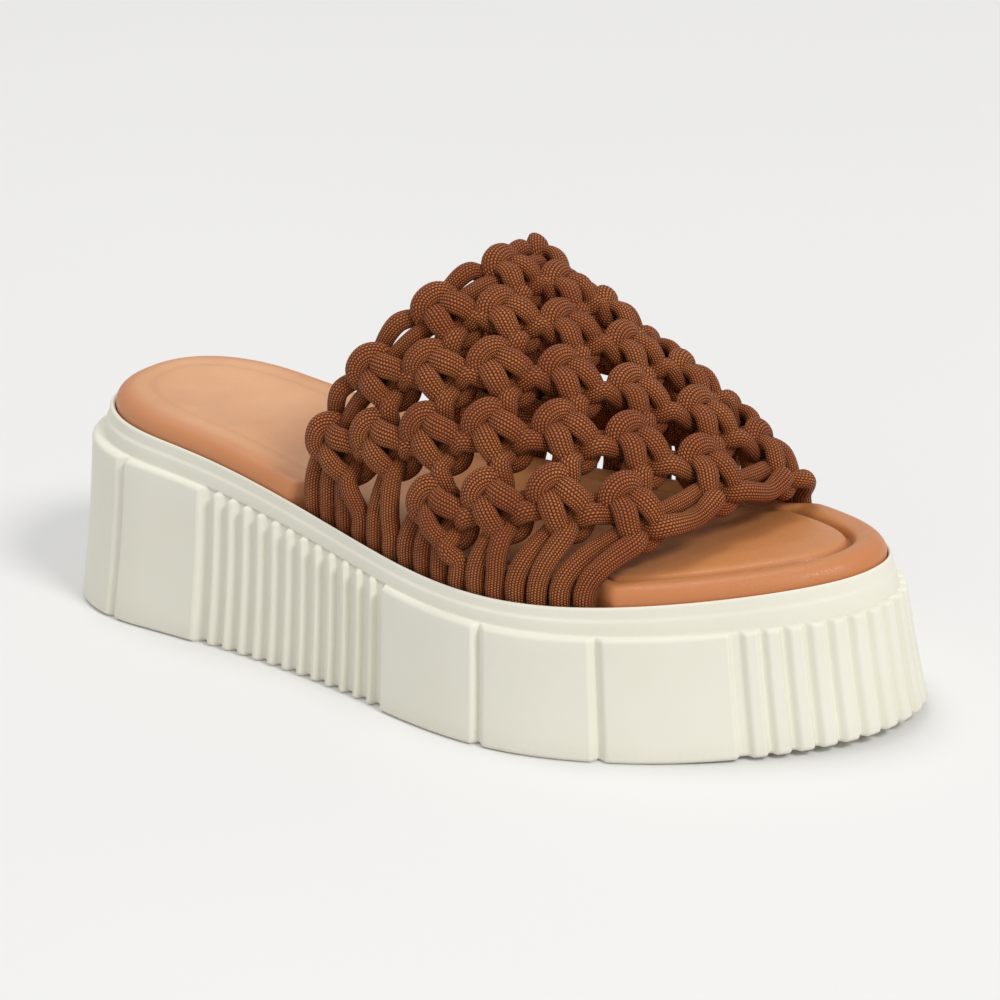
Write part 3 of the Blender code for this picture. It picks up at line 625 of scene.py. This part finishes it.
def make_footbed():
    """Rings of the last set further and further in: side, rolled edge, seam and cupped seat."""
    sides, stations, length = outline(lambda station: 0.0 * station)
    place = np.linspace(0.0, length[-1], PAD_SAMPLES, endpoint=False)
    side, station = along_outline(place, sides, stations, length)
    first = np.where(side < 0, BAND_EDGE[-1][0], BAND_EDGE[1][0])
    last = np.where(side < 0, BAND_EDGE[-1][1], BAND_EDGE[1][1])
    inside = np.minimum(station - first, last - station) * FOOTBED_LENGTH
    notch = NOTCH * smooth_step(-NOTCH_EASE, 0.0, inside)
    rim = rim_height(station)
    seam = smooth_step(*SEAM_START, station)

    def top(step, inset, pinch):
        pad = PAD_HEEL + (PAD_TOE - PAD_HEEL) * step
        seat = SEAT_DEPTH * np.clip(1.0 - step / SEAT_END, 0.0, 1.0) * smooth_step(*SEAT_EASE, inset)
        fall = sum(depth * smooth_step(start, end, inset) for depth, start, end in TOP_FALLS)
        groove = SEAM_DEPTH * np.exp(-(((inset - SEAM_INSET) / SEAM_HALF) ** 2))
        dip = SEAM_DIP[0] * np.exp(-(((inset - SEAM_INSET) / SEAM_DIP[1]) ** 2))
        share = SEAM_AT_HEEL + (1.0 - SEAM_AT_HEEL) * pinch
        return rim_height(step) + pad - seat - fall - (groove + dip) * share

    rings = []
    marks = []
    edges = []
    bottom = rim - RECESS_DEPTH + CLEARANCE
    full = top(station, 0.0, 0.0 * station)
    low = full - PAD_ROUND
    for inset, lift in PAD_FOOT:
        rings.append((inset, bottom + lift))
    side_foot = bottom + PAD_FOOT[-1][1]
    for share in PAD_SIDE:
        rings.append((0.0, side_foot + share * (low - side_foot)))
    for turn in np.linspace(0.0, math.pi / 2, ROLL_STEPS):
        inset = PAD_ROUND * (1.0 - math.cos(turn))
        rings.append((inset, low + PAD_ROUND * math.sin(turn) + top(station, inset, seam) - full))
    seam_places = np.linspace(SEAM_INSET - SEAM_REACH, SEAM_INSET + SEAM_REACH, SEAM_STEPS)
    for inset in np.concatenate([TOP_BEFORE_SEAM, seam_places, TOP_AFTER_SEAM]):
        rings.append((inset, top(station, inset, seam)))
    levels = []
    for inset, height in rings:
        keep = 1.0 - NOTCH_LOSS * smooth_step(*NOTCH_FADE, inset)
        levels.append(ring_round(side, station, -inset - notch * keep, height))
        # Painted shade in the seam's channel, stronger towards the toe
        pinch = np.exp(-(((inset - SEAM_INSET) / (SEAM_HALF * SEAM_SHADE_WIDTH)) ** 2))
        marks.append(pinch * (SEAM_SHADE_AT_HEEL + (1.0 - SEAM_SHADE_AT_HEEL) * seam))
        edges.append(np.full(len(station), 1.0 - smooth_step(*EDGE_FADE, inset)))
    crown = spine(station, -CROWN_INSET, lambda step: top(step, CROWN_INSET + SEAT_MARGIN, 0.0))
    under = spine(station, -PAD_FOOT[0][0], lambda step: rim_height(step) - RECESS_DEPTH + CLEARANCE)
    for share in CROWN_STEPS:
        levels.append(levels[len(rings) - 1] * (1.0 - share) + crown * share)
        marks.append(0.0 * station)
        edges.append(0.0 * station)
    levels.insert(0, under)
    marks.insert(0, 0.0 * station)
    edges.insert(0, 0.0 * station)
    points = np.concatenate(levels)
    quads = grid_quads(len(levels), len(station))
    # The seam layer is painted shade in the seam's channel
    layers = {"seam": np.concatenate(marks), "edge": np.concatenate(edges)}
    piece = make_piece("footbed_pad", points, quads, leather_material(), layers=layers, weld=WELD)
    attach(piece, "root")
    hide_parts("footbed")


# Band, as in the CAD
CREST_STATION = (0.526, 0.836)
CREST_SIDEWAYS = (0.102, 0.020)
CREST = ((0.00, 1.000), (0.25, 0.901), (0.50, 0.748), (0.75, 0.558), (1.00, 0.294))
ARCH_FULLNESS = (2.6, 3.5)
ARCH_TOP_POWER = 1.85
LEAN_POWER = (1.90, 2.40)
HEEL_EDGE_BULGE = (0.0160, 0.0025)
TOE_EDGE_BULGE = (0.0010, 0.0010)
SIDE_BLEND = 4.0
COLUMNS = 7
COLUMN_PITCH = 0.0145
ROW_PITCH = (0.1150, 0.1450)
MIDDLE_ROW = (3.40, 3.0)
# Knots near the crest sit further to the medial side, at the first and last column, most at the middle
ROW_SHIFT = (0.0105, 0.0028)
ROW_SHIFT_MIDDLE = 0.005
ROW_SHIFT_REACH = 0.060
FIRST_ROW = (0.0, 0.5, 1.0, 0.5, 1.0, 1.5, 2.0)
LAST_ROW = (7.0, 6.5, 6.0, 5.5, 5.0, 4.5, 4.0)
LEGS = 16
# Grid of the band's face: how far it runs past both edges, its size, and the points of one arch
BAND_MARGIN = 0.10
BAND_GRID = (121, 241)
ARCH_POINTS = 361
# Near the rim the face's normal turns level over this length
UPRIGHT_REACH = 0.010


class Band:
    """Outer face of the band as a grid of points and normals over its two surface lengths."""

    def __init__(self):
        self.along = np.linspace(-BAND_MARGIN, 1.0 + BAND_MARGIN, BAND_GRID[0])
        self.share = np.linspace(0.0, 1.0, BAND_GRID[1])
        rows = [self.section(along) for along in self.along]
        self.points = np.array([row[0] for row in rows])
        self.length = np.array([row[1] for row in rows])
        one = np.gradient(self.points, axis=0)
        two = np.gradient(self.points, axis=1)
        normal = np.cross(one, two)
        self.normals = normal / np.linalg.norm(normal, axis=-1, keepdims=True)

    def section(self, along):
        """One arch: a superellipse from foot to foot that leans forward, resampled evenly by length."""
        feet = []
        for side in (-1, 1):
            first, last = BAND_EDGE[side]
            station = first + (last - first) * along
            x, y = plan_point(side, station, 0.0)
            feet.append(np.array([float(x), float(y), float(rim_height(station))]))
        lateral, medial = feet
        turn = np.linspace(0.0, math.pi, ARCH_POINTS)
        sweep = -np.cos(turn)
        rise = np.clip(np.sin(turn), 0.0, 1.0)
        medial_share = 0.5 + 0.5 * np.tanh(SIDE_BLEND * sweep)

        def blend(pair):
            return pair[0] + (pair[1] - pair[0]) * medial_share

        over = np.sign(sweep) * np.abs(sweep) ** (2.0 / blend(ARCH_FULLNESS))
        up = rise ** (2.0 / ARCH_TOP_POWER)
        points = lateral + (medial - lateral) * ((over + 1.0) / 2.0)[:, None]
        middle = (lateral + medial) / 2
        crest = CREST_STATION[0] + (CREST_STATION[1] - CREST_STATION[0]) * along
        sideways = (CREST_SIDEWAYS[0] + (CREST_SIDEWAYS[1] - CREST_SIDEWAYS[0]) * along) * PLAN_WIDTH
        bulge = blend(HEEL_EDGE_BULGE) * (1.0 - along) + blend(TOE_EDGE_BULGE) * along
        points[:, 0] += ((crest - 0.5) * FOOTBED_LENGTH - middle[0]) * up ** blend(LEAN_POWER)
        points[:, 1] += (sideways - middle[1]) * up + over * bulge * rise
        points[:, 2] += float(spline(CREST, 1, along)) * INSTEP_HEIGHT * up
        run = np.concatenate([[0.0], np.cumsum(np.linalg.norm(np.diff(points, axis=0), axis=1))])
        even = np.stack([np.interp(self.share * run[-1], run, points[:, k]) for k in range(3)], axis=1)
        return even + SHIFT, run[-1]

    def total(self, along):
        """Length of the arch from rim to rim."""
        return np.interp(along, self.along, self.length)

    def look_up(self, grid, along, share):
        """Value of a grid between its corners."""
        step = self.along[1] - self.along[0]
        row = np.clip((along - self.along[0]) / step, 0, len(self.along) - 1.001)
        column = np.clip(share * (len(self.share) - 1), 0, len(self.share) - 1.001)
        low_row, low_column = row.astype(int), column.astype(int)
        row_part, column_part = (row - low_row)[:, None], (column - low_column)[:, None]
        near = grid[low_row, low_column] * (1 - column_part)
        near = near + grid[low_row, low_column + 1] * column_part
        far = grid[low_row + 1, low_column] * (1 - column_part)
        far = far + grid[low_row + 1, low_column + 1] * column_part
        return near * (1 - row_part) + far * row_part

    def place(self, along, across, depth):
        """Points at a depth under the outer face, and the face's normal there."""
        total = self.total(along)
        share = np.clip(across / total, 0.0, 1.0)
        point = self.look_up(self.points, along, share)
        point[:, 2] += np.minimum(across, 0.0) + np.minimum(total - across, 0.0)
        normal = self.look_up(self.normals, along, np.clip(share, 0.01, 0.99))
        foot = np.minimum(across, total - across)
        flat = normal * np.array([1.0, 1.0, 0.0])
        flat /= np.linalg.norm(flat, axis=1, keepdims=True)
        blend = np.clip(foot / UPRIGHT_REACH, 0.0, 1.0)[:, None]
        normal = normal * blend + flat * (1.0 - blend)
        normal /= np.linalg.norm(normal, axis=1, keepdims=True)
        return point - normal * depth[:, None], normal


# Paths of the four cords through one square knot, in millimetres: towards the toe, towards the medial
# side and outward. Each is the lateral half, and the medial half is its mirror image. Turner and holder
# are the two working cords.
TURNER = (
    (-8.2, -5.6, -1.6),
    (-6.4, -3.0, -1.2),
    (-4.4, -2.7, 2.2),
    (-0.4, -3.7, 4.1),
    (3.8, -5.1, 2.2),
    (6.4, -4.9, -1.4),
    (8.2, 0.0, -2.8),
)
FILLER_HEEL = ((-2.7, -5.0, -0.6), (-2.6, 0.0, -1.2))
FILLER_TOE = ((2.7, -5.0, -0.6), (2.6, 0.0, -1.2))
HOLDER = (
    (7.4, -5.8, 2.2),
    (5.4, -2.2, -1.0),
    (0.0, -2.4, -4.4),
    (-4.0, -4.6, -2.8),
    (-5.6, -5.8, 1.2),
    (-7.3, -3.6, 3.7),
    (-7.9, 0.0, 4.3),
)
ROLES = (TURNER, FILLER_HEEL, FILLER_TOE, HOLDER)
KNOT_SHARE = 0.88
CORD_HALF_WIDTH = 0.00310
CORD_HALF_THICKNESS = 0.00235
LEG_DEPTH = 0.0026
NET_DEPTH = 0.0052
TUCK = 0.0052
CORD_SIDES = 16
CORD_WELD = 1e-8
# Cords along the two free edges: how far they bow from their column between knots, and their height
EDGE_BOW = {0: (-0.0094, 0.0014), 1: (-0.0026, 0.0004), 14: (0.0034, 0.0), 15: (0.0094, 0.0004)}
# How far each column of knots is drawn in from the net's even pitch
EDGE_INSET = (0.0020, 0.0010, 0.0, 0.0, 0.0, 0.0, 0.0)
CORD_STEP = 0.0009
# Smooth points between two rows of a route, and the least gap between rows
ROUTE_POINTS = 24
LEAST_GAP = 1e-5
# Each cord runs straight from the rim for this length before its first knot
FOOT_RUN = 0.006
# The net sinks from the legs' depth to its own between these lengths from the rim
NET_EASE = (0.006, 0.022)
# A cord is narrow at the back of a knot, and broad and flat at its front: heights, least share and gain
WIDE_HEIGHTS = (-0.0010, 0.0036)
WIDE_SHARES = (0.78, 0.30)
FLAT_HEIGHTS = (0.0010, 0.0040)
FLAT_SHARE = 0.12
# Legs at the rim have an even width, evened out over some rings
LEG_LENGTH = 0.016
LEG_WIDTH = 0.93
WIDTH_WINDOW = 9
# Uneven shifts of the knots, in metres, and their turn; a knot's seed comes from its row and column
HAND_SHIFT = 0.0006
HAND_TURN = 0.10
HAND_WAVE = (12.9898, 4.1)
ROW_SEED = 7.3
COLUMN_SEED = 3.1
MILLIMETRES = 1000


def pair_mix(pair, column):
    """Value between those of the first and the last column of knots."""
    return pair[0] + (pair[1] - pair[0]) * (column - 1.0) / (COLUMNS - 1.0)


def hand(seed, size):
    """Small uneven amount that is the same in each run."""
    return size * math.sin(HAND_WAVE[0] * seed + HAND_WAVE[1])


def cord_route(band, number):
    """Places that one cord passes: towards the toe, across from the middle, and outward, in metres."""
    width = COLUMNS * COLUMN_PITCH
    foot = ((number + 0.5) / LEGS - 0.5) * width
    half = float(band.total((number + 0.5) / LEGS)) / 2
    stops = []
    for column in range(1, COLUMNS + 1):
        role = number - (2 * column - 2)
        if not 0 <= role <= 3:
            continue
        row = FIRST_ROW[column - 1]
        while row <= LAST_ROW[column - 1]:
            stops.append((row, column, role))
            row += 1.0
    route = [(foot, -half - TUCK, 0.0), (foot, -half, 0.0), (foot, -half + FOOT_RUN, 0.0)]
    for row, column, role in sorted(stops):
        seed = row * ROW_SEED + column * COLUMN_SEED
        middle = (column - 0.5 - COLUMNS / 2) * COLUMN_PITCH + hand(seed, HAND_SHIFT)
        middle += EDGE_INSET[column - 1]
        pitch = pair_mix(ROW_PITCH, column) * float(band.total(0.0))
        across = (row - pair_mix(MIDDLE_ROW, column)) * pitch + hand(seed + 1.7, HAND_SHIFT)
        from_crest = (across - ROW_SHIFT_MIDDLE) / ROW_SHIFT_REACH
        across += pair_mix(ROW_SHIFT, column) * math.exp(-(from_crest**2))
        lateral = [(ahead, aside * KNOT_SHARE, out) for ahead, aside, out in ROLES[role]]
        medial = [(ahead, -aside, out) for ahead, aside, out in lateral[-2::-1]]
        turn = hand(seed + 2.9, HAND_TURN)
        if number in EDGE_BOW and len(route) > 3:
            bow, level = EDGE_BOW[number]
            route.append((middle + bow, across - pitch / 2, level))
        for ahead, aside, out in lateral + medial:
            place = middle + (ahead - turn * aside) / MILLIMETRES
            reach = across + (aside + turn * ahead) / MILLIMETRES
            route.append((place, reach, out / MILLIMETRES))
    route += [(foot, half - FOOT_RUN, 0.0), (foot, half, 0.0), (foot, half + TUCK, 0.0)]
    return np.array(route)


def smooth_route(route, step):
    """Centripetal Catmull-Rom curve through the rows, resampled evenly."""
    route = np.concatenate([[2 * route[0] - route[1]], route, [2 * route[-1] - route[-2]]])
    gaps = np.maximum(np.linalg.norm(np.diff(route, axis=0), axis=1), LEAST_GAP) ** 0.5
    clock = np.concatenate([[0.0], np.cumsum(gaps)])
    rows = [route[k:len(route) - 3 + k][:, None, :] for k in range(4)]
    times = [clock[k:len(clock) - 3 + k][:, None, None] for k in range(4)]
    share = np.linspace(0.0, 1.0, ROUTE_POINTS, endpoint=False)[None, :, None]
    now = times[1] + (times[2] - times[1]) * share

    def between(start, end, low, high):
        reach = times[end] - times[start]
        return (times[end] - now) / reach * low + (now - times[start]) / reach * high

    before = between(0, 1, rows[0], rows[1])
    within = between(1, 2, rows[1], rows[2])
    after = between(2, 3, rows[2], rows[3])
    early = between(0, 2, before, within)
    late = between(1, 3, within, after)
    points = between(1, 2, early, late).reshape(-1, 3)
    run = np.concatenate([[0.0], np.cumsum(np.linalg.norm(np.diff(points, axis=0), axis=1))])
    even = np.linspace(0.0, run[-1], int(run[-1] / step))
    return np.stack([np.interp(even, run, points[:, k]) for k in range(3)], axis=1)


def cord_tube(band, number):
    """Tube round one cord's route: ellipse carried along it, its flat side to the band's face."""
    route = smooth_route(cord_route(band, number), CORD_STEP)
    along = route[:, 0] / (COLUMNS * COLUMN_PITCH) + 0.5
    total = band.total(along)
    across = route[:, 1] + total / 2
    foot = np.minimum(across, total - across)
    base = LEG_DEPTH + (NET_DEPTH - LEG_DEPTH) * smooth_step(*NET_EASE, foot)
    centre, normal = band.place(along, across, base - route[:, 2])
    ahead = np.gradient(centre, axis=0)
    run = np.concatenate([[0.0], np.cumsum(np.linalg.norm(np.diff(centre, axis=0), axis=1))])
    ahead /= np.linalg.norm(ahead, axis=1, keepdims=True)
    out = normal - ahead * np.sum(normal * ahead, axis=1, keepdims=True)
    out /= np.linalg.norm(out, axis=1, keepdims=True)
    beside = np.cross(ahead, out)
    angle = np.linspace(0.0, 2 * math.pi, CORD_SIDES, endpoint=False)
    outward = route[:, 2]
    wide = CORD_HALF_WIDTH * (WIDE_SHARES[0] + WIDE_SHARES[1] * smooth_step(*WIDE_HEIGHTS, outward))
    thick = CORD_HALF_THICKNESS * (1.0 - FLAT_SHARE * smooth_step(*FLAT_HEIGHTS, outward))
    wide = np.where(foot < LEG_LENGTH, CORD_HALF_WIDTH * LEG_WIDTH, wide)
    padded = np.pad(wide, WIDTH_WINDOW // 2, mode="edge")
    wide = np.convolve(padded, np.full(WIDTH_WINDOW, 1 / WIDTH_WINDOW), mode="valid")
    ring = np.cos(angle)[None, :, None] * wide[:, None, None] * beside[:, None, :]
    ring = ring + np.sin(angle)[None, :, None] * thick[:, None, None] * out[:, None, :]
    points = centre[:, None, :] + ring
    points[0] = centre[0]
    points[-1] = centre[-1]
    return points.reshape(-1, 3), run


def make_cords(band, name, numbers, material):
    """Joined tubes of several cords, with a map of the way round and the length in millimetres."""
    points = []
    quads = []
    maps = []
    start = 0
    for number in numbers:
        tube, run = cord_tube(band, number)
        rows = len(run)
        points.append(tube)
        quads.append(grid_quads(rows, CORD_SIDES, start))
        start += len(tube)
        row, column = np.meshgrid(np.arange(rows - 1), np.arange(CORD_SIDES), indexing="ij")
        corners = []
        for down, right in ((0, 0), (0, 1), (1, 1), (1, 0)):
            around = (column + right) / CORD_SIDES
            corners.append(np.stack([around, run[row + down] * MILLIMETRES], axis=-1))
        maps.append(np.stack(corners, axis=2).reshape(-1, 2))
    points = np.concatenate(points)
    quads = np.concatenate(quads)
    piece = make_piece(name, points, quads, material, uv=np.concatenate(maps), weld=CORD_WELD)
    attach(piece, "root")
    return piece


def make_band():
    """Sixteen cords of the net in two pieces, the heel's half and the toe's half."""
    band = Band()
    material = cord_material()
    heel = make_cords(band, "cords_heel", range(0, LEGS // 2), material)
    toe = make_cords(band, "cords_toe", range(LEGS // 2, LEGS), material)
    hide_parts("upper")
    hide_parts("upper")


def make_camera():
    """Camera at the photo's place, turned to the middle of the one shoe."""
    azimuth, elevation, roll = map(math.radians, (CAMERA_AZIMUTH, CAMERA_ELEVATION, CAMERA_ROLL))
    right = Vector((math.cos(azimuth), math.sin(azimuth), 0.0))
    up = Vector((-math.sin(azimuth), math.cos(azimuth), 0.0)) * math.sin(elevation)
    up.z = math.cos(elevation)
    image_right = right * math.cos(roll) + up * math.sin(roll)
    image_up = up * math.cos(roll) - right * math.sin(roll)
    forward = Vector(CAMERA_FORWARD).normalized()
    aside = image_right * (PHOTO_AIM[0] - PHOTO_MIDDLE) - image_up * (PHOTO_AIM[1] - PHOTO_MIDDLE)
    aim = forward * PHOTO_FOCAL + aside
    aim.normalize()
    side = (image_right - aim * image_right.dot(aim)).normalized()
    data = bpy.data.cameras.new("camera")
    data.sensor_width = SENSOR_WIDTH
    data.lens = SENSOR_WIDTH * PHOTO_FOCAL * ZOOM / (2 * PHOTO_MIDDLE)
    camera = bpy.data.objects.new("camera", data)
    rows = Matrix((side, side.cross(aim), -aim)).transposed().to_4x4()
    camera.matrix_world = Matrix.Translation(CAMERA_PLACE) @ rows
    bpy.context.scene.collection.objects.link(camera)
    bpy.context.scene.camera = camera


FLOOR_TONES = ((0.815, 0.815, 0.812, 1), (0.840, 0.840, 0.838, 1))
FLOOR_CORNERS = ((-5, -5, 0), (5, -5, 0), (5, 5, 0), (-5, 5, 0))
WORLD_COLOUR = (1.0, 0.995, 0.985, 1.0)
WORLD_STRENGTH = 0.54
# Soft round lights: name, place, size, power and colour
LIGHTS = (
    ("key", (2.60, -0.60, 2.40), 1.00, 56.0, (1.0, 0.985, 0.96)),
    ("fill", (0.50, -3.20, 1.60), 2.40, 2.5, (1.0, 1.0, 1.0)),
    ("top", (-0.90, 0.40, 3.00), 1.60, 26.0, (1.0, 1.0, 1.0)),
)
LIGHT_AIM = (0.0, 0.0, 0.04)


def floor_material():
    """Pale studio floor with a hardly visible drift in tone."""
    material, nodes, surface = new_material("floor_paper")
    broad = blotches(nodes, 1.5, 60.0)[0]
    colour = nodes.blend(nodes.remap(broad, 0.3, 0.7, 0.0, 1.0), *FLOOR_TONES)
    nodes.feed(surface.inputs["Base Color"], colour)
    surface.inputs["Roughness"].default_value = 0.9
    surface.inputs["Specular IOR Level"].default_value = 0.1
    return material


def make_studio():
    """Floor, pale world and three soft lights: a key from the toe side, a fill and a top light."""
    mesh = bpy.data.meshes.new("floor")
    mesh.from_pydata(FLOOR_CORNERS, [], [(0, 1, 2, 3)])
    mesh.materials.append(floor_material())
    floor = bpy.data.objects.new("floor", mesh)
    bpy.context.scene.collection.objects.link(floor)
    world = bpy.data.worlds.new("studio")
    world.use_nodes = True
    world.node_tree.nodes["Background"].inputs[0].default_value = WORLD_COLOUR
    world.node_tree.nodes["Background"].inputs[1].default_value = WORLD_STRENGTH
    bpy.context.scene.world = world
    for name, place, size, power, colour in LIGHTS:
        data = bpy.data.lights.new(name, "AREA")
        data.shape = "DISK"
        data.size = size
        data.energy = power
        data.color = colour
        lamp = bpy.data.objects.new(name, data)
        lamp.location = place
        towards = Vector(LIGHT_AIM) - Vector(place)
        lamp.rotation_euler = towards.to_track_quat("-Z", "Y").to_euler()
        bpy.context.scene.collection.objects.link(lamp)
    bpy.context.scene.view_settings.view_transform = "Standard"


make_camera()
make_studio()
make_sole()
make_footbed()
make_band()
